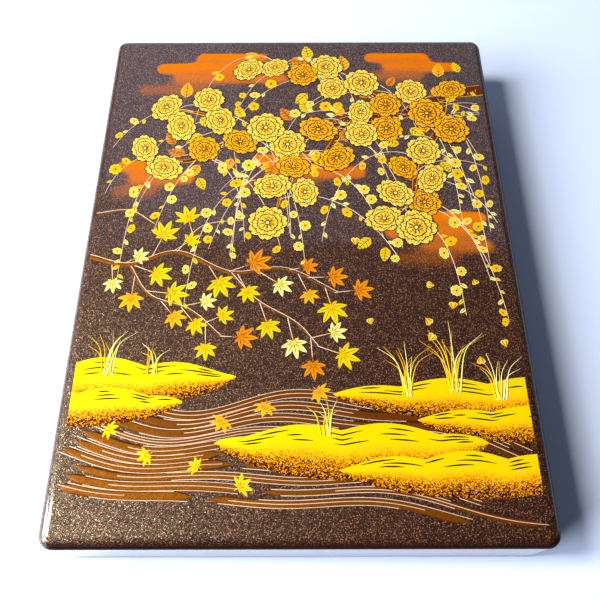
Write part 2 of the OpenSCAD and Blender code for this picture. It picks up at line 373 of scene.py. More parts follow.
def lid_top():
    """The board as one closed mesh. Its attribute unrolled is the place on the top as if the rolled
    edge were laid flat."""
    corner = CORNER_R - EDGE_ROLL
    xs = grid_lines(HALF_W, corner, GRID_STEP, CORNER_LINES)
    ys = grid_lines(HALF_L, corner, GRID_STEP, CORNER_LINES)
    nx, ny = len(xs), len(ys)
    verts, faces, outward, unrolled = [], [], [], []
    for gy in ys:
        for gx in xs:
            x, y, way = top_point(gx, gy, corner)
            outward.append(way)
            verts.append((x, y, crown(x, y)))
            unrolled.append((x, y, 0))
    for j in range(ny - 1):
        for i in range(nx - 1):
            a = j * nx + i
            faces.append((a, a + 1, a + nx + 1, a + nx))
    rim = list(range(nx)) + [j * nx + nx - 1 for j in range(1, ny)]
    rim += [(ny - 1) * nx + i for i in range(nx - 2, -1, -1)] + [j * nx for j in range(ny - 2, 0, -1)]
    profile = []
    for k in range(1, ROLL_STEPS + 1):
        turn = math.pi / 2 * k / ROLL_STEPS
        profile.append((EDGE_ROLL * math.sin(turn), RIM_Z - EDGE_DROP * (1 - math.cos(turn))))
    board_z = RIM_Z - BOARD_T
    inset = EDGE_ROLL - LID_WALL
    profile += [(EDGE_ROLL, board_z), (inset, board_z), (inset, board_z - FIELD_H)]
    ring, run, before = rim, 0.0, (0, RIM_Z)
    for out, z in profile:
        new = list(range(len(verts), len(verts) + len(rim)))
        run += math.dist(before, (out, z))
        before = (out, z)
        for k in rim:
            x, y, _ = verts[k]
            verts.append((x + outward[k][0] * out, y + outward[k][1] * out, z))
            unrolled.append((x + outward[k][0] * run, y + outward[k][1] * run, 0))
        for k in range(len(rim)):
            m = (k + 1) % len(rim)
            faces.append((ring[m], ring[k], new[k], new[m]))
        ring = new
    outside = len(faces) - 2 * len(rim)  # the last two rings and the field's face are in the box
    faces.append(tuple(reversed(ring)))
    mesh = bpy.data.meshes.new("lid_top")
    mesh.from_pydata(verts, [], faces)
    mesh.shade_smooth()
    mesh.materials.append(sprinkled_lacquer("nashiji_with_orange_haze", hazed=True))
    mesh.materials.append(roiro)
    mesh.polygons.foreach_set("material_index", [int(i >= outside) for i in range(len(faces))])
    haze = [haze_at(x / MM, y / MM) for x, y, z in verts]
    store(mesh, "haze_depth", [depth for depth, strength in haze])
    store(mesh, "haze_strength", [strength for depth, strength in haze])
    store(mesh, "unrolled", unrolled)
    return placed("lid_top", mesh)


top = lid_top()
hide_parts("lid_top_board")
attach(top, "lid")


# Raised gold: the picture on the lid is built up in lacquer and dusted with gold, brown and orange
# powders, then fixed and burnished. Every line and leaf is a thin raised shape that follows the
# crown, with its foot buried in the ground coat.
BED = 0.6  # how far the foot reaches below a shape, in millimetres
GRAIN = 0.5 * MM  # real grains are about 0.05 mm; drawn coarser so that they show
# Powders are places on one scale of tones
DARK, BARK, BROWN, ORANGE, AMBER, YELLOW, PALE, ROSE = 0.0, 0.18, 0.28, 0.42, 0.55, 0.7, 0.84, 1.0
POWDERS = {
    DARK: "#180702", BARK: "#542407", BROWN: "#6f3e04", ORANGE: "#e88a06",
    AMBER: "#f4b40e", YELLOW: "#dec400", PALE: "#f8eea0", ROSE: "#f0d0b0",
}
LEAST_SWING = 0.05  # how much the tone of close powder varies from grain to grain
PICTURE_X, PICTURE_Y = 122, 164  # the picture ends here, in millimetres, before the edge rolls down
Place = namedtuple("Place", "x y turn size squeeze tone lift")  # in millimetres from the lid's middle


# Maki-e: metal powder strewn on wet lacquer. It is bright and slightly grainy under a thin clear coat.
def gold_powder():
    material, tree = finish_named("maki_e_powder")
    place = add(tree, "ShaderNodeTexCoord").outputs["Object"]
    cells = add(tree, "ShaderNodeTexVoronoi", inputs={"Vector": place, "Scale": 1 / GRAIN})
    grain = add(tree, "ShaderNodeSeparateColor", inputs={"Color": cells.outputs["Color"]})
    swing = add(tree, "ShaderNodeMath", {"operation": "SUBTRACT"}, {0: grain.outputs[0], 1: 0.5})
    stipple = add(tree, "ShaderNodeAttribute", {"attribute_name": "stipple"}).outputs["Fac"]
    loose = add(tree, "ShaderNodeMath", {"operation": "ADD"}, {0: stipple, 1: LEAST_SWING})
    middle = add(tree, "ShaderNodeAttribute", {"attribute_name": "tone"}).outputs["Fac"]
    tone = add(tree, "ShaderNodeMath", {"operation": "MULTIPLY_ADD"}, {0: swing, 1: loose, 2: middle})
    ramp = add(tree, "ShaderNodeValToRGB", inputs={"Fac": tone})
    stops = ramp.color_ramp.elements
    stops[0].color = linear(POWDERS[DARK])
    stops[1].color = linear(POWDERS[ROSE])
    for at in sorted(POWDERS)[1:-1]:
        stops.new(at).color = linear(POWDERS[at])
    stops.new(YELLOW + 0.03).color = linear(POWDERS[YELLOW])  # its grains swing without turning pale
    relief = add(
        tree, "ShaderNodeBump", inputs={"Height": grain.outputs[1], "Strength": 0.2, "Distance": 0.2 * MM}
    )
    powder = add(
        tree, "ShaderNodeBsdfPrincipled",
        inputs={
            "Base Color": ramp, "Normal": relief,
            "Metallic": 0.25, "Roughness": 0.4, "Specular IOR Level": 0.05,
            "Coat Weight": 0.05, "Coat Roughness": 0.08,
        },
    )
    add(tree, "ShaderNodeOutputMaterial", inputs={"Surface": powder})
    return material


maki_e = gold_powder()


def node_group(name, inputs):
    """An empty Geometry Nodes tree with named inputs; returns it with its input and output sockets."""
    tree = bpy.data.node_groups.new(name, "GeometryNodeTree")
    tree.interface.new_socket("Geometry", in_out="OUTPUT", socket_type="NodeSocketGeometry")
    for title, kind in inputs.items():
        tree.interface.new_socket(title, in_out="INPUT", socket_type="NodeSocket" + kind)
    return tree, tree.nodes.new("NodeGroupInput").outputs, tree.nodes.new("NodeGroupOutput").inputs


def finished_on_crown(tree, shape, pressed, powder, out):
    """Drops a flat drawing on to the lid's crown and gives it its powder. Heights are pressed, and
    the attribute lift raises what lies over something else."""
    place = add(tree, "GeometryNodeInputPosition")
    at = add(tree, "ShaderNodeSeparateXYZ", inputs={0: place}).outputs
    falls = []
    for axis, half in ((0, HALF_W), (1, HALF_L)):
        share = add(tree, "ShaderNodeMath", {"operation": "DIVIDE"}, {0: at[axis], 1: half})
        square = add(tree, "ShaderNodeMath", {"operation": "POWER"}, {0: share, 1: 2})
        falls.append(add(tree, "ShaderNodeMath", {"operation": "SUBTRACT"}, {0: 1, 1: square}))
    swell = add(tree, "ShaderNodeMath", {"operation": "MULTIPLY"}, {0: falls[0], 1: falls[1]})
    ground = add(tree, "ShaderNodeMath", {"operation": "MULTIPLY_ADD"}, {0: swell, 1: CROWN, 2: RIM_Z})
    lift = add(tree, "GeometryNodeInputNamedAttribute", {"data_type": "FLOAT"}, {"Name": "lift"})
    base = add(tree, "ShaderNodeMath", {"operation": "ADD"}, {0: ground, 1: lift})
    height = add(tree, "ShaderNodeMath", {"operation": "MULTIPLY_ADD"}, {0: at[2], 1: pressed, 2: base})
    there = add(tree, "ShaderNodeCombineXYZ", inputs={0: at[0], 1: at[1], 2: height})
    laid = add(tree, "GeometryNodeSetPosition", inputs={0: shape, "Position": there})
    done = add(tree, "GeometryNodeSetMaterial", inputs={"Geometry": laid, "Material": powder})
    tree.links.new(done.outputs[0], out[0])
    return tree


def motif_tree():
    """One copy of a motif on each point, turned and sized by the point's own attributes."""
    tree, given, out = node_group(
        "motifs_on_the_lid", {"Points": "Geometry", "Motif": "Object", "Powder": "Material"}
    )
    shape = add(tree, "GeometryNodeObjectInfo", inputs={"Object": given["Motif"]}).outputs["Geometry"]
    size = add(tree, "GeometryNodeInputNamedAttribute", {"data_type": "FLOAT_VECTOR"}, {"Name": "size"})
    angle = add(tree, "GeometryNodeInputNamedAttribute", {"data_type": "FLOAT"}, {"Name": "turn"})
    turn = add(tree, "ShaderNodeCombineXYZ", inputs={2: angle})
    copies = add(
        tree, "GeometryNodeInstanceOnPoints",
        inputs={"Points": given["Points"], "Instance": shape, "Rotation": turn, "Scale": size},
    )
    real = add(tree, "GeometryNodeRealizeInstances", inputs={0: copies})
    full = add(tree, "GeometryNodeInputNamedAttribute", {"data_type": "FLOAT"}, {"Name": "tone"})
    part = add(tree, "GeometryNodeInputNamedAttribute", {"data_type": "FLOAT"}, {"Name": "part"})
    tone = add(tree, "ShaderNodeMath", {"operation": "MULTIPLY"}, {0: full, 1: part})
    toned = add(
        tree, "GeometryNodeStoreNamedAttribute", {"data_type": "FLOAT", "domain": "POINT"},
        {"Geometry": real, "Name": "tone", "Value": tone},
    )
    return finished_on_crown(tree, toned, 1.0, given["Powder"], out)


def line_tree():
    """A raised line along each drawn path, as wide as the path's own attribute says."""
    tree, given, out = node_group(
        "lines_on_the_lid", {"Paths": "Geometry", "Sides": "Int", "Powder": "Material", "Pressed": "Float"}
    )
    curves = add(tree, "GeometryNodeMeshToCurve", inputs={0: given["Paths"]})
    level = add(tree, "GeometryNodeSetCurveNormal", {"mode": "Z_UP"}, {0: curves})
    section = add(
        tree, "GeometryNodeCurvePrimitiveCircle", inputs={"Resolution": given["Sides"], "Radius": 1.0}
    )
    width = add(tree, "GeometryNodeInputNamedAttribute", {"data_type": "FLOAT"}, {"Name": "width"})
    drawn = add(
        tree, "GeometryNodeCurveToMesh",
        inputs={"Curve": level, "Profile Curve": section, "Scale": width, "Fill Caps": True},
    )
    real = add(tree, "GeometryNodeRealizeInstances", inputs={0: drawn})
    return finished_on_crown(tree, real, given["Pressed"], given["Powder"], out)


MOTIFS = motif_tree()
LINES = line_tree()


def grown(name, base, tree, values):
    """Runs a tree on a plan and keeps the result as a plain piece of the lid."""
    work = placed(name + "_plan", base)
    modifier = work.modifiers.new("grow", "NODES")
    modifier.node_group = tree
    for item in tree.interface.items_tree:
        if item.in_out == "INPUT" and item.name in values:
            modifier[item.identifier] = values[item.name]
    ready = work.evaluated_get(bpy.context.evaluated_depsgraph_get())
    mesh = bpy.data.meshes.new_from_object(ready)
    mesh.name = name
    work.modifiers.remove(modifier)
    bpy.data.objects.remove(work)
    piece = placed(name, mesh)
    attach(piece, "lid")


def plan_mesh(name, points, edges, attributes):
    """A mesh of bare points or paths, in millimetres on the lid, with attributes for each point."""
    mesh = bpy.data.meshes.new(name)
    mesh.from_pydata([(x * MM, y * MM, 0) for x, y in points], edges, [])
    for title, values in attributes.items():
        store(mesh, title, values)
    return mesh


def set_out(name, shape, places):
    """Copies of a motif, one for each place; sizes in millimetres."""
    mesh = plan_mesh(
        name, [(p.x, p.y) for p in places], [],
        {
            "turn": [p.turn for p in places],
            "size": [(p.size * MM, p.size * p.squeeze * MM, MM) for p in places],
            "tone": [p.tone for p in places],
            "lift": [p.lift * MM for p in places],
        },
    )
    grown(name, mesh, MOTIFS, {"Motif": shape, "Powder": maki_e})


def draw(name, strokes, pressed, sides=6):
    """Raised lines along strokes given as (points, half widths, tones, lift), in millimetres. Pressed
    is their height as a share of their half width."""
    points, edges = [], []
    values = {"width": [], "tone": [], "lift": []}
    for path, widths, tones, lift in strokes:
        start = len(points)
        points += path
        edges += [(start + i, start + i + 1) for i in range(len(path) - 1)]
        values["width"] += [w * MM for w in widths]
        values["tone"] += tones
        values["lift"] += [lift * MM] * len(path)
    mesh = plan_mesh(name, points, edges, values)
    grown(name, mesh, LINES, {"Sides": sides, "Powder": maki_e, "Pressed": pressed})


def stroke(path, thick, thin, tone, lift):
    """A stroke of one tone that tapers from thick to thin half width."""
    last = len(path) - 1
    return path, [thick + (thin - thick) * i / last for i in range(len(path))], [tone] * len(path), lift


def curve(knots, step=2.0):
    """A smooth path through knots, with a point about every step millimetres."""
    knots = [np.array(k, float) for k in knots]
    p = [2 * knots[0] - knots[1]] + knots + [2 * knots[-1] - knots[-2]]
    path = []
    for a, b, c, d in zip(p, p[1:], p[2:], p[3:]):
        count = max(2, round(float(np.linalg.norm(c - b)) / step))
        for t in np.arange(count) / count:
            bend = (c - a) * t + (2 * a - 5 * b + 4 * c - d) * t**2 + (3 * b - a - 3 * c + d) * t**3
            path.append(b + bend / 2)
    path.append(knots[-1])
    return [(float(x), float(y)) for x, y in path]


def beside(path, away):
    """A path moved sideways, to the left of its run, by a distance for each point."""
    moved = []
    for i, (x, y) in enumerate(path):
        a, b = path[max(i - 1, 0)], path[min(i + 1, len(path) - 1)]
        run = math.hypot(b[0] - a[0], b[1] - a[1])
        moved.append((x - away[i] * (b[1] - a[1]) / run, y + away[i] * (b[0] - a[0]) / run))
    return moved


def motif(name, sheets, stippled=0.0):
    """A motif of thin raised sheets. A sheet is rows of (x, y, height in mm, part), where part is the
    share of the full tone. Each is closed by sides and one face below, so that every sheet is a solid.
    The stippled share says how loosely the powder lies where the tone falls off."""
    verts, faces, part = [], [], []
    for rows in sheets:
        n, m = len(rows), len(rows[0])
        flat = [point for row in rows for point in row]
        ring = list(range(m)) + [r * m + m - 1 for r in range(1, n)]
        ring += [(n - 1) * m + c for c in range(m - 2, -1, -1)] + [r * m for r in range(n - 2, 0, -1)]
        top = len(verts)
        under = top + len(flat)
        verts += [(x, y, z) for x, y, z, share in flat] + [(flat[k][0], flat[k][1], -BED) for k in ring]
        part += [share for x, y, z, share in flat] + [flat[k][3] for k in ring]
        for a in (r * m + c + top for r in range(n - 1) for c in range(m - 1)):
            faces.append((a, a + 1, a + m + 1, a + m))
        for k in range(len(ring)):
            after = (k + 1) % len(ring)
            faces.append((under + k, under + after, top + ring[after], top + ring[k]))
        faces.append(tuple(under + k for k in reversed(range(len(ring)))))
    mesh = bpy.data.meshes.new(name)
    mesh.from_pydata(verts, [], faces)
    store(mesh, "part", part)
    store(mesh, "stipple", [stippled * (1 - share) for share in part])
    return bpy.data.objects.new(name, mesh)


def turned(rows, angle):
    """A sheet turned about the motif's middle."""
    c, s = math.cos(angle), math.sin(angle)
    return [[(x * c - y * s, x * s + y * c, z, part) for x, y, z, part in row] for row in rows]


def apart(places, x, y, size, closeness):
    """Whether a round motif here keeps its distance from those already placed."""
    return all(math.hypot(x - p.x, y - p.y) > closeness * (size + p.size) for p in places)


# Stream: bands of brown powder that wind across the foot of the lid, broken here and there, each with
# hair lines of rose gold drawn along it with a fine brush.
ROWS = 10
ROW_STEP = 5.6
STREAM_LEFT, STREAM_TOP = -124, -88  # left end of the farthest band, before it bends
STREAM_FALL = 0.10  # towards the right
LONG_SWING, LONG_BEND = 8, 36  # how far the long bend swings, and its run for each radian
SHORT_SWING, SHORT_BEND = 3.5, 16  # the same for the short bend
BEND_SHIFT = 0.35  # radians by which the short bend shifts from band to band
NEAR_CALM = 0.06  # how much flatter each band is than the one beyond it
LATE_START, EARLY_END = 30, 50  # how far short of the picture's edges a row may start and end
BAND_POINT = 2.5  # distance between points along a band
BAND_LENGTH = (60, 190)
SHORTEST_BAND = 20  # less room than this is left bare
BAND_GAP = (5, 12)
BAND_HALVES = (1.6, 2.1, 2.5, 2.5)  # half widths that a band may have
BAND_TIP, BAND_SWELL = 0.1, 0.3  # share of that at a band's ends, and the gain from point to point
GOLDEN = 0.45  # share of golden brown in the middle of the farthest band; the rest is redder
GOLDEN_FALL = 240  # distance to the right over which that share falls by one
GOLDEN_STEP = 0.05  # its gain from band to band
HAIR_SIDES = (-0.9, 0.05, 0.9)  # where hair lines run, as shares of the half width


def flow(x, row):
    """Height on the lid of the stream's band number row at x: a long bend and a short one that shifts
    from band to band, both flatter towards the near edge."""
    bend = LONG_SWING * math.sin(x / LONG_BEND + 0.5)
    bend += SHORT_SWING * math.sin(x / SHORT_BEND + 2 + BEND_SHIFT * row)
    return STREAM_TOP - STREAM_FALL * (x - STREAM_LEFT) + bend * (1 - NEAR_CALM * row) - ROW_STEP * row


stream_rng = random.Random(11)
bands, hairs = [], []
for row in range(ROWS):
    x = -PICTURE_X + stream_rng.uniform(0, LATE_START) * (row % 3) / 2
    last = PICTURE_X - stream_rng.uniform(0, EARLY_END) * (row % 2)
    while x < last - SHORTEST_BAND:
        stop = min(last, x + stream_rng.uniform(*BAND_LENGTH))
        count = max(3, round((stop - x) / BAND_POINT))
        xs = [x + (stop - x) * i / count for i in range(count + 1)]
        path = [(px, flow(px, row)) for px in xs]
        full = stream_rng.choice(BAND_HALVES)
        ends = [min(1, BAND_TIP + BAND_SWELL * min(i, len(path) - 1 - i)) for i in range(len(path))]
        golden = [min(1, max(0, GOLDEN - px / GOLDEN_FALL + GOLDEN_STEP * row)) for px in xs]
        tones = [BARK + (BROWN - BARK) * share for share in golden]
        bands.append((path, [full * e for e in ends], tones, 0.0))
        for side in HAIR_SIDES:
            line = beside(path, [side * full] * len(path))
            first = stream_rng.randrange(0, max(1, len(line) // 3))
            line = line[first : first + stream_rng.randrange(len(line) // 2, len(line) + 1)]
            if len(line) > 3:
                hairs.append(stroke(line, 0.22, 0.16, ROSE, 0.03))
        x = stop + stream_rng.uniform(*BAND_GAP)
draw("stream_bands", bands, 0.01)
draw("stream_lines", hairs, 0.2, 4)


# Sandbars: lobed bars of bright gold by the stream, one before the other. The far edge of a bar is
# crisp, and its powder is strewn thinner towards the near edge, where it breaks up in to stippling.
Bar = namedtuple("Bar", "left right y back front lobes shift lift")
# Back and front are a bar's depths beyond and before y, and lobes and shift shape its far edge. Bars
# that run on past the picture's edge are cut off there.
BARS = (
    Bar(18, 200, -94, 10, 15, 6.0, 0.5, 0.09),
    Bar(62, 180, -108, 8, 12, 4.2, 1.4, 0.11),
    Bar(-44, 98, -120, 11, 19, 4.4, 0.3, 0.13),
    Bar(20, 160, -134, 10, 14, 5.2, 1.9, 0.15),
    Bar(-190, -34, -84, 12, 18, 5.6, 1.1, 0.09),
    Bar(-170, -62, -98, 9, 13, 4.4, 0.2, 0.11),
)
BAR_ROWS, BAR_COLUMNS = 14, 80
BAR_BLUNT = 0.7  # the lower, the blunter a bar's ends
LOBE_DEPTH = 0.40  # as a share of a bar's back
THINNED, THINNEST = 0.66, 0.08  # near share of a bar that is strewn thinner, and its least powder
RIPPLE_DEPTHS = (0.10, 0.20, 0.30)  # from the far edge, as shares of a bar's depth
RIPPLE_REACH, RIPPLE_LAST = 0.9, 0.8  # along a bar's half length, where ripples end and the last starts
RIPPLE_LAG = 0.25  # how far along the first one may start
RIPPLE_LENGTH, RIPPLE_GAP = (0.1, 0.3), (0.08, 0.3)
RIPPLE_TIP, RIPPLE_SWELL = 0.06, 0.34  # half width at a ripple's ends, and what its middle adds
RIPPLE_STEPS = 12


def bar_edges(bar, u):
    """x and both edges of a sandbar at u, which runs from -1 at its left end to 1 at its right."""
    x = (bar.left + bar.right) / 2 + (bar.right - bar.left) / 2 * u
    end = (1 - u * u) ** BAR_BLUNT
    lobe = 1 - LOBE_DEPTH + LOBE_DEPTH * abs(math.sin(bar.lobes * u + bar.shift))
    return x, bar.y - bar.front * end, bar.y + bar.back * end * lobe


def bar_span(bar):
    """The range of u over which a bar lies on the picture."""
    middle, half = (bar.left + bar.right) / 2, (bar.right - bar.left) / 2
    return max(-0.999, (-PICTURE_X - middle) / half), min(0.999, (PICTURE_X - middle) / half)


def sandbar(bar):
    """A bar as a sheet from its near to its far edge."""
    first, last = bar_span(bar)
    rows = []
    for r in range(BAR_ROWS + 1):
        v = r / BAR_ROWS
        row = []
        for i in range(BAR_COLUMNS + 1):
            x, near, far = bar_edges(bar, first + (last - first) * i / BAR_COLUMNS)
            part = THINNEST + (1 - THINNEST) * min(1, v / THINNED)
            row.append((x, near + (far - near) * v, bar.lift, part))
        rows.append(row)
    return rows


ripple_rng = random.Random(4)
ripples = []
for bar in BARS:
    first, last = bar_span(bar)
    for depth in RIPPLE_DEPTHS:
        u = RIPPLE_REACH * first + ripple_rng.uniform(0, RIPPLE_LAG)
        while u < RIPPLE_LAST * last:
            stop = min(RIPPLE_REACH * last, u + ripple_rng.uniform(*RIPPLE_LENGTH))
            steps = [i / RIPPLE_STEPS for i in range(RIPPLE_STEPS + 1)]
            places = [bar_edges(bar, u + (stop - u) * step) for step in steps]
            path = [(x, far + (near - far) * depth) for x, near, far in places]
            swell = [math.sin(math.pi * (0.9 * step + 0.05)) for step in steps]
            widths = [RIPPLE_TIP + RIPPLE_SWELL * share for share in swell]
            ripples.append((path, widths, [DARK] * len(path), bar.lift + 0.01))
            u = stop + ripple_rng.uniform(*RIPPLE_GAP)
set_out(
    "sandbars", motif("sandbars_shape", [sandbar(bar) for bar in BARS], 0.9),
    [Place(0, 0, 0, 1, 1, YELLOW, 0)],
)
draw("sand_ripples", ripples, 0.15, 4)


# Boughs: old boughs of a weeping cherry reach in from the right, brown with gold edges and the short
# cross marks of cherry bark. From them hang long twigs, drawn in hair lines of rose gold.
BOUGHS = (  # path, half width at the foot and at the tip
    (
        curve([(124, 122), (98, 117), (66, 99), (32, 95), (-4, 78), (-38, 80), (-70, 62), (-98, 66)]),
        4.6, 0.8,
    ),
    (curve([(66, 99), (48, 118), (22, 128), (-2, 146), (-26, 150)]), 2.6, 0.6),
    (curve([(98, 117), (92, 88), (76, 62), (70, 34), (52, 12)]), 2.8, 0.6),
    (curve([(32, 95), (16, 66), (-6, 48), (-14, 24)]), 2.2, 0.5),
    (curve([(-38, 80), (-58, 98), (-84, 106)]), 1.6, 0.5),
)
TWIG_STEP = 2.0
TWIG_EVERY = 5  # points of a bough from one twig to the next
SHORTEST_TWIG = 8  # points
TWIG_LENGTH = (45, 125)
TWIG_LEAN = (1.5, 2.5)  # from the plumb line where a twig leaves its bough, in radians
TWIG_DROOP = (0.03, 0.09)  # share of its lean that a twig loses at each step
BARK_EDGE = 0.95  # where the gold edges run, as a share of a bough's half width
MARKED_BARK = 0.9  # the bark is plain where a bough's half width is less
MARK_CHANCE = 0.7  # of a cross mark at each point of a bough
MARK_HALF = (0.15, 0.4)  # half length of a mark, as a share of the bough's half width


def hanging(start, lean, length, droop):
    """A twig that leaves a bough at an angle from the plumb line and bends over under its weight."""
    path = [start]
    for _ in range(round(length / TWIG_STEP)):
        x, y = path[-1]
        path.append((x + TWIG_STEP * math.sin(lean), y - TWIG_STEP * math.cos(lean)))
        lean *= 1 - droop
    return [(x, y) for x, y in path if abs(x) < PICTURE_X - 1 and abs(y) < PICTURE_Y - 1]


bark_rng = random.Random(3)
wood, bark, twigs = [], [], []
for path, thick, thin in BOUGHS:
    wood.append(stroke(path, thick, thin, BARK, 0.0))
    widths = wood[-1][1]
    for side, tone in ((-BARK_EDGE, ORANGE), (BARK_EDGE, AMBER)):
        bark.append(stroke(beside(path, [side * w for w in widths]), 0.30, 0.22, tone, 0.03))
    for i in range(2, len(path) - 2):
        if widths[i] > MARKED_BARK and bark_rng.random() < MARK_CHANCE:
            middle = bark_rng.uniform(-0.5, 0.5) * widths[i]
            half = bark_rng.uniform(*MARK_HALF) * widths[i]
            mark = [beside(path, [middle + s * half] * len(path))[i] for s in (-1, 0, 1)]
            bark.append((mark, [0.08, 0.2, 0.08], [AMBER] * 3, 0.07))
    for i in range(TWIG_EVERY, len(path), TWIG_EVERY):
        lean = bark_rng.choice((-1, 1)) * bark_rng.uniform(*TWIG_LEAN)
        twig = hanging(path[i], lean, bark_rng.uniform(*TWIG_LENGTH), bark_rng.uniform(*TWIG_DROOP))
        if len(twig) > SHORTEST_TWIG:
            twigs.append(twig)
draw("cherry_boughs", wood, 0.016, 10)
draw("cherry_bark", bark, 0.1, 4)
draw("cherry_twigs", [stroke(twig, 0.26, 0.15, ROSE, 0.02) for twig in twigs], 0.2, 4)


# Blossoms: large double ones on the boughs and small single ones on the twigs. Petals are notched,
# yellow at the foot and pale at the tip, with their veins left dark. A thin dark rim is left round
# each petal.
PETAL_ROWS = (0.05, 0.25, 0.45, 0.65, 0.80, 0.91, 0.98)
SMALL_ROWS = (0.12, 0.70, 0.95)
RINGS = (  # petals, reach and half width as shares of the blossom's reach, veins, height in millimetres
    (7, 1.0, 0.35, 3, 0.02), (7, 0.74, 0.26, 2, 0.06), (5, 0.48, 0.24, 1, 0.09),
)
NOTCH = 0.12  # depth of the notch, as a share of a petal's reach
PETAL_RIM = 0.06  # dark rim round a petal, as a share of the blossom's reach
DEEP_GOLD = 0.63  # powder of the darker blossoms, between amber and yellow
STAMENS = 9
LAYER = 0.135  # room in height, in millimetres, for one blossom over another
LAYERS = 3
TRIES = 400  # for the blossoms of one bough
BLOSSOM_EVERY = 6.5  # points of a bough for each of its blossoms
BLOSSOM_STRAY = 12  # from the bough, in x and in y
BLOSSOM_REACH = (10.5, 13.5)
# Nearer than these shares of both reaches together, a blossom lies over another, or is left out
OVERLAP, CLOSEST = 1.05, 0.76
PALE_SHARE = 0.62  # of the large blossoms
SMALL_REACH, SPRIG_LENGTH = (3.6, 5.2), (4.5, 6.5)  # of a twig's blossoms and young leaves


def petal(reach, wide, height, veins, rows=PETAL_ROWS, dark=False):
    """A notched petal that points along +Y. Every second column of it is a vein."""
    vein = 0.26 if veins else 0.55
    columns = 2 * veins + 2
    sheet = []
    for f in rows:
        half = wide * math.sin(math.pi * f * f) ** 0.6
        row = []
        for k in range(columns + 1):
            t = 2 * k / columns - 1
            notch = NOTCH * (1 - abs(t)) * f**8
            part = vein + 0.5 * f**4 if k % 2 else 0.94 + 0.10 * f
            row.append((half * t, reach * (f - notch), height, 0.0 if dark else part))
        sheet.append(row)
    return sheet


def stalk(y0, y1, half, z, part):
    """A straight line along the motif's axis as a thin raised sheet."""
    return [[(side * half, y, z, part) for side in (-1, 1)] for y in (y0, y1)]


def dot(y, r, z, part):
    """A small hexagon on the motif's axis."""
    ring = [(r * math.cos(math.pi * k / 3), y + r * math.sin(math.pi * k / 3)) for k in range(6)]
    return [[(*ring[a], z, part), (*ring[b], z, part)] for a, b in ((4, 5), (3, 0), (2, 1))]


def double_blossom():
    """Three rings of petals on dark rims, and stamens drawn dark round a pale eye."""
    sheets = []
    for level, (count, reach, wide, veins, height) in enumerate(RINGS):
        for k in range(count):
            turn = 2 * math.pi * (k + level / 2) / count
            under = petal(reach + PETAL_RIM, wide + PETAL_RIM, height - 0.015, 1, PETAL_ROWS[::2], True)
            sheets.append(turned(under, turn))
            sheets.append(turned(petal(reach, wide, height + 0.002 * k, veins), turn))
    sheets.append(dot(0, 0.15, 0.105, 0.05))
    for k in range(STAMENS):
        turn = 2 * math.pi * (k + 0.5) / STAMENS
        far = 0.30 if k % 2 else 0.23
        sheets.append(turned(stalk(0.08, far, 0.016, 0.108, 0.05), turn))
        sheets.append(turned(dot(far, 0.04, 0.110, 0.05), turn))
    sheets.append(dot(0, 0.09, 0.112, 1.08))
    return motif("double_blossom_shape", sheets, 0.2)


def single_blossom():
    """Five plain petals on a dark ground, with a dark eye."""
    sheets = [dot(0, 0.66, 0.005, 0.0)]
    for k in range(5):
        sheets.append(turned(petal(1.0, 0.46, 0.02, 0, SMALL_ROWS), 2 * math.pi * k / 5))
    sheets.append(dot(0, 0.17, 0.03, 0.1))
    return motif("single_blossom_shape", sheets, 0.2)


flower_rng = random.Random(5)
blossoms, levels = [], []
for path, _, _ in BOUGHS:
    goal = len(blossoms) + round(len(path) / BLOSSOM_EVERY)
    for _ in range(TRIES):
        x, y = path[flower_rng.randrange(3, len(path))]
        x += flower_rng.uniform(-BLOSSOM_STRAY, BLOSSOM_STRAY)
        y += flower_rng.uniform(-BLOSSOM_STRAY, BLOSSOM_STRAY)
        size = flower_rng.uniform(*BLOSSOM_REACH)
        below = [n for p, n in zip(blossoms, levels) if not apart([p], x, y, size, OVERLAP)]
        level = max(below, default=-1) + 1
        fits = abs(x) + size < PICTURE_X and abs(y) + size < PICTURE_Y and level < LAYERS
        if len(blossoms) < goal and fits and apart(blossoms, x, y, size, CLOSEST):
            tone = PALE if flower_rng.random() < PALE_SHARE else DEEP_GOLD
            squeeze = flower_rng.choice((1.0, 1.0, 0.75))
            turn = flower_rng.uniform(0, 2 * math.pi)
            blossoms.append(Place(x, y, turn, size, squeeze, tone, 0.09 + LAYER * level))
            levels.append(level)
small, sprigs = [], []
for twig in twigs:
    i = 4
    while i < len(twig):
        (ax, ay), (x, y) = twig[i - 1], twig[i]
        heading = math.atan2(y - ay, x - ax)
        side = flower_rng.choice((-1, 1))
        taper = 1.1 - 0.45 * i / len(twig)
        if flower_rng.random() < 0.5:
            size = flower_rng.uniform(*SMALL_REACH) * taper
            x -= side * 0.8 * size * math.sin(heading)
            y += side * 0.8 * size * math.cos(heading)
            tone = PALE if flower_rng.random() < 0.7 else YELLOW
            clear = apart(blossoms, x, y, size, 0.95) and apart(small, x, y, size, 1.0)
            if clear and abs(x) + size < PICTURE_X:
                turn = flower_rng.uniform(0, 2 * math.pi)
                small.append(Place(x, y, turn, size, flower_rng.choice((1, 0.7)), tone, 0.07))
        else:
            size = flower_rng.uniform(*SPRIG_LENGTH) * taper
            clear = apart(blossoms, x, y, 2, 0.95) and apart(small, x, y, 2, 1.0)
            if clear and abs(x) + size < PICTURE_X:
                turn = heading - math.pi / 2 + side * flower_rng.uniform(0.5, 1.0)
                sprigs.append(Place(x, y, turn, size, 1.0, flower_rng.choice((PALE, PALE, YELLOW)), 0.05))
        i += flower_rng.randrange(2, 5)
set_out("cherry_blossoms", double_blossom(), blossoms)
set_out("twig_blossoms", single_blossom(), small)


# Cherry leaves: serrated leaves among the blossoms, in orange and yellow gold, and small young ones on
# the twigs. The dark ground is left open between their raised panels as veins.
LEAF_TRIES = 3  # for each point of a bough
LEAF_LENGTH = (10, 15)
LEAF_AWAY = (3, 18)  # from the middle of its bough


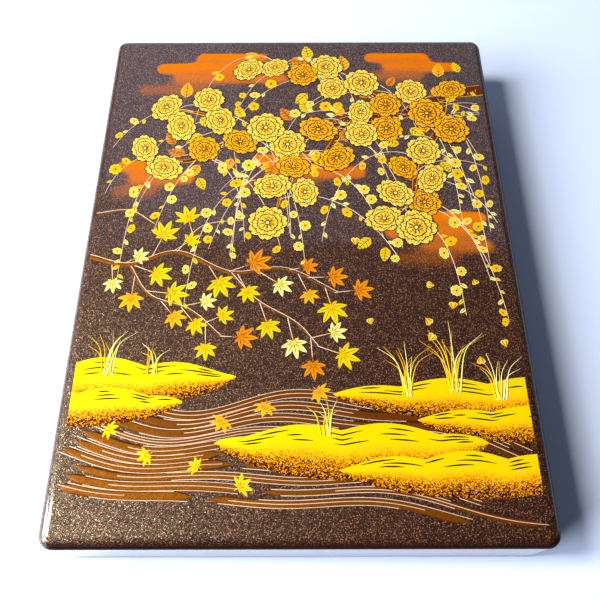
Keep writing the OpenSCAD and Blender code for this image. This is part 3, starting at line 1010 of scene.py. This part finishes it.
def veined_leaf(half, pairs, gap):
    """A pointed leaf along +Y, as slanting panels either side of its midrib."""
    panels = []
    for side in (-1, 1):
        for k in range(pairs):
            rows = []
            for f in (k / pairs + gap, (k + 1) / pairs):
                y = f + 0.22 * (1 - f)
                edge = max(half * math.sin(math.pi * y**0.85) ** 0.8, 0.03)
                pair = [(side * 0.018, f, 0.03, 0.86), (side * edge, y, 0.03, 1.0)]
                rows.append(pair if side > 0 else pair[::-1])
            panels.append(rows)
    return panels


def blade(length, half, gap, height, stations=5):
    """A pointed leaf or lobe along +Y, as two raised halves either side of its vein."""
    halves = []
    for side in (-1, 1):
        rows = []
        for i in range(stations + 1):
            f = i / stations
            inner = gap * (1 - 0.6 * f)
            outer = max(half * math.sin(math.pi * (0.10 + 0.88 * f)) ** 0.9, inner + 0.01)
            y = length * (0.02 + 0.98 * f)
            pair = [(side * inner, y, height, 0.80 + 0.20 * f), (side * outer, y, height, 1.0)]
            rows.append(pair if side > 0 else pair[::-1])
        halves.append(rows)
    return halves


leaf_rng = random.Random(17)
cherry_leaves = []
for path, _, _ in BOUGHS:
    for _ in range(len(path) * LEAF_TRIES):
        x, y = path[leaf_rng.randrange(3, len(path))]
        turn = leaf_rng.uniform(0, 2 * math.pi)
        away = leaf_rng.uniform(*LEAF_AWAY)
        x -= away * math.sin(turn)
        y += away * math.cos(turn)
        size = leaf_rng.uniform(*LEAF_LENGTH)
        clear = apart(cherry_leaves, x, y, size, 0.42) and apart(blossoms, x, y, 2, 0.9)
        fits = abs(x) + size < PICTURE_X and abs(y) + size < PICTURE_Y
        if clear and fits and apart(small, x, y, 3, 1.0):
            tone = leaf_rng.choice((ORANGE, AMBER, YELLOW, YELLOW))
            cherry_leaves.append(Place(x, y, turn, size, 1.0, tone, 0.04))
set_out("cherry_leaves", motif("cherry_leaf_shape", veined_leaf(0.30, 5, 0.045)), cherry_leaves)
set_out("twig_leaves", motif("twig_leaf_shape", blade(1.0, 0.26, 0.05, 0.03, 3)), sprigs)


# Maple: a spray reaches in from the left over the stream. Each leaf is seven pointed blades of
# yellow or orange gold, with the vein of every blade left as a dark line. Some have fallen and drift.
LOBES = (  # turn from the middle lobe, length and half width as shares of the leaf's reach
    (0, 1.0, 0.16), (0.70, 0.94, 0.155), (-0.70, 0.94, 0.155), (1.42, 0.76, 0.13), (-1.42, 0.76, 0.13),
    (2.2, 0.42, 0.08), (-2.2, 0.42, 0.08),
)
SPRAY = (  # path, half width at the foot and at the tip
    (curve([(-124, -8), (-100, -14), (-72, -6), (-40, -20), (-8, -18), (22, -34)]), 1.5, 0.35),
    (curve([(-100, -14), (-86, -34), (-62, -44), (-44, -60)]), 0.8, 0.25),
    (curve([(-72, -6), (-58, 12), (-34, 16)]), 0.7, 0.25),
    (curve([(-124, 22), (-104, 24), (-88, 14)]), 0.7, 0.25),
    (curve([(-40, -20), (-24, -38), (-2, -52), (10, -66)]), 0.7, 0.25),
)
MAPLE_EVERY = 3  # points of the spray from one pair of leaves to the next
MAPLE_REACH, DRIFTING_REACH = (7.5, 12), (6, 9)
MAPLE_AWAY = (5, 12)  # from the spray to a leaf's foot
MAPLE_TURN = (0.5, 1.2)  # from the spray's run, in radians
DRIFTING = ((-100, -112), (-78, -126), (-40, -108), (-18, -100), (-52, -132), (10, -92), (-30, -142))


def maple_leaf():
    sheets = [turned(half, angle) for angle, long, wide in LOBES for half in blade(long, wide, 0.02, 0.03)]
    sheets.append(stalk(-0.5, 0.05, 0.022, 0.02, 0.8))
    return motif("maple_leaf_shape", sheets)


maple_rng = random.Random(9)
stems = [stroke(path, thick, thin, BROWN, 0.0) for path, thick, thin in SPRAY]
leaves = []
for path, thick, _ in SPRAY:
    stems.append(stroke(beside(path, [0.9 * thick] * len(path)), 0.2, 0.16, ROSE, 0.03))
    for i in range(4, len(path), MAPLE_EVERY):
        for side in (-1, 1):
            (ax, ay), (bx, by) = path[i - 1], path[min(i + 1, len(path) - 1)]
            heading = math.atan2(by - ay, bx - ax) + side * maple_rng.uniform(*MAPLE_TURN)
            size = maple_rng.uniform(*MAPLE_REACH)
            away = maple_rng.uniform(*MAPLE_AWAY) + size / 2
            x = path[i][0] + away * math.cos(heading)
            y = path[i][1] + away * math.sin(heading)
            clear = apart(leaves, x, y, size, 0.72) and apart(small, x, y, size, 0.8)
            if clear and apart(blossoms, x, y, size, 0.85) and abs(x) + size < PICTURE_X - 1:
                tone = maple_rng.choice((YELLOW, YELLOW, AMBER, ORANGE, PALE))
                level = sum(not apart([leaf], x, y, size, 1.0) for leaf in leaves)
                lift = 0.03 + 0.05 * min(level, 3)
                leaves.append(Place(x, y, heading - math.pi / 2, size, 1.0, tone, lift))
                foot = (x - size / 2 * math.cos(heading), y - size / 2 * math.sin(heading))
                stems.append(stroke([path[i], foot], 0.24, 0.18, ROSE, 0.01))
for x, y in DRIFTING:
    turn = maple_rng.uniform(0, 2 * math.pi)
    size = maple_rng.uniform(*DRIFTING_REACH)
    leaves.append(Place(x, y, turn, size, 0.8, maple_rng.choice((YELLOW, AMBER)), 0.14))
draw("maple_stems", stems, 0.05)
set_out("maple_leaves", maple_leaf(), leaves)


# Reeds: clumps of long blades on the sandbars. Each blade is one stroke of gold, broad at the foot and
# drawn out to a hair.
CLUMPS = (  # foot, height and number of blades
    (58, -95, 34, 11), (84, -93, 44, 13), (108, -97, 28, 9), (14, -116, 22, 8), (-104, -83, 30, 10),
    (-80, -82, 22, 8),
)
CLUMP_HALF = 3
FAN = 0.55  # how far a clump's outer blades lean, as a share of their height
REED_HEIGHT = (0.65, 1.0)  # as shares of the clump's height
reed_rng = random.Random(6)
reeds = []
for foot_x, foot_y, tall, count in CLUMPS:
    for k in range(count):
        lean = -FAN + 2 * FAN * k / (count - 1) + reed_rng.uniform(-0.08, 0.08)
        high = tall * reed_rng.uniform(*REED_HEIGHT)
        x = foot_x + reed_rng.uniform(-CLUMP_HALF, CLUMP_HALF)
        blade_path = curve([
            (x, foot_y),
            (x + 0.30 * lean * high, foot_y + 0.6 * high),
            (x + 0.95 * lean * high, foot_y + high * (1 - 0.25 * abs(lean))),
        ])
        reeds.append(stroke(blade_path, 0.50, 0.08, reed_rng.choice((YELLOW, PALE, AMBER)), 0.18))
draw("reed_blades", reeds, 0.08, 4)


# Falling petals: single petals of pale gold let fall between the tree and the stream. Each is one
# notched sheet of raised lacquer, dusted like the petals of the blossoms.
PETALS = 9
PETAL_LENGTH = (5.0, 6.5)
FALL_X, FALL_Y = (-20, 116), (-84, 30)  # where they fall, in millimetres
fall_rng = random.Random(2)
fallen = []
while len(fallen) < PETALS:
    x, y = fall_rng.uniform(*FALL_X), fall_rng.uniform(*FALL_Y)
    clear = apart(fallen, x, y, 6, 1.2) and apart(small, x, y, 4, 1.1) and apart(leaves, x, y, 4, 1.1)
    if clear and apart(blossoms, x, y, 4, 1.1):
        turn = fall_rng.uniform(0, 2 * math.pi)
        size = fall_rng.uniform(*PETAL_LENGTH)
        fallen.append(Place(x, y, turn, size, fall_rng.uniform(0.7, 1), PALE, 0.04))
set_out("falling_petals", motif("petal_shape", [petal(1.0, 0.40, 0.03, 1)]), fallen)


# Floor: a plain pale table top with a matt coat of paint, which takes the box's shadow.
# It isn't part of the object.
TABLE_HALF = 4.0


def table():
    material, tree = finish_named("pale_table")
    paint = add(
        tree, "ShaderNodeBsdfPrincipled", inputs={"Base Color": linear("#cedcf3"), "Roughness": 0.7}
    )
    add(tree, "ShaderNodeOutputMaterial", inputs={"Surface": paint})
    mesh = bpy.data.meshes.new("table")
    signs = ((-1, -1), (1, -1), (1, 1), (-1, 1))
    mesh.from_pydata([(x * TABLE_HALF, y * TABLE_HALF, 0) for x, y in signs], [], [(0, 1, 2, 3)])
    mesh.materials.append(material)
    return placed("table", mesh)


table()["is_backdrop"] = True


# Light: a wide soft panel behind, which the far part of the lid mirrors, brighter step by step towards
# its left end; a tall narrow window and a small high panel at the left as the key, and a low window at
# the front left for the table, in a dim grey room.
def lamp(name, place, aim, size, power, colour):
    """A rectangular panel of a width and a height that faces the place it aims at."""
    light = bpy.data.lights.new(name, "AREA")
    light.shape = "RECTANGLE"
    light.size, light.size_y = size
    light.energy = power
    light.color = linear(colour)[:3]
    panel = placed(name, light)
    panel.location = place
    panel.rotation_euler = (Vector(aim) - Vector(place)).to_track_quat("-Z", "Y").to_euler()


BACK_Y, BACK_Z = 1.5, 1.1
BACK_W, BACK_H = 2.8, 1.6
lamp("back_panel", (0, BACK_Y, BACK_Z), (0, 0, 0.05), (BACK_W, BACK_H), 9.3, "#ccdcff")
for step in range(4):
    wide = 0.8 + 0.2 * step
    high = BACK_H - 0.05 * step
    middle = (wide - BACK_W) / 2
    lamp(
        "back_left_panel_%d" % (step + 1), (middle, BACK_Y, BACK_Z), (middle, 0, 0.05), (wide, high),
        1.45 * wide * high, "#d4dcff",
    )
lamp("left_window", (-1.25, -0.15, 1.25), (0, -0.15, 1.25), (0.40, 1.8), 40, "#f8f6ff")
lamp("high_left_panel", (-0.94, -0.09, 1.29), (-0.1, -0.16, 0.05), (0.35, 0.40), 23, "#fffaf4")
lamp("front_left_window", (-1.3, -0.75, 0.8), (0, -0.3, 0.0), (0.6, 1.0), 38, "#f4f4ff")
room = bpy.data.worlds.new("room")
room.use_nodes = True
sky = room.node_tree.nodes["Background"]
sky.inputs["Color"].default_value = linear("#b8b8bc")
sky.inputs["Strength"].default_value = 0.08
bpy.context.scene.world = room
bpy.context.scene.view_settings.view_transform = "Standard"


# Camera: above the front edge, looking down the length of the lid.
# It was fitted to the lid's outline in the photo.
camera = placed("camera", bpy.data.cameras.new("camera"))
camera.data.lens = 39.58
camera.data.sensor_width = 36
camera.data.clip_start = 0.01
camera.location = (0.5 * MM, -205.3 * MM, 384.5 * MM)
camera.rotation_euler = (0.461, 0.001, -0.002)
bpy.context.scene.camera = camera

low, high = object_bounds()
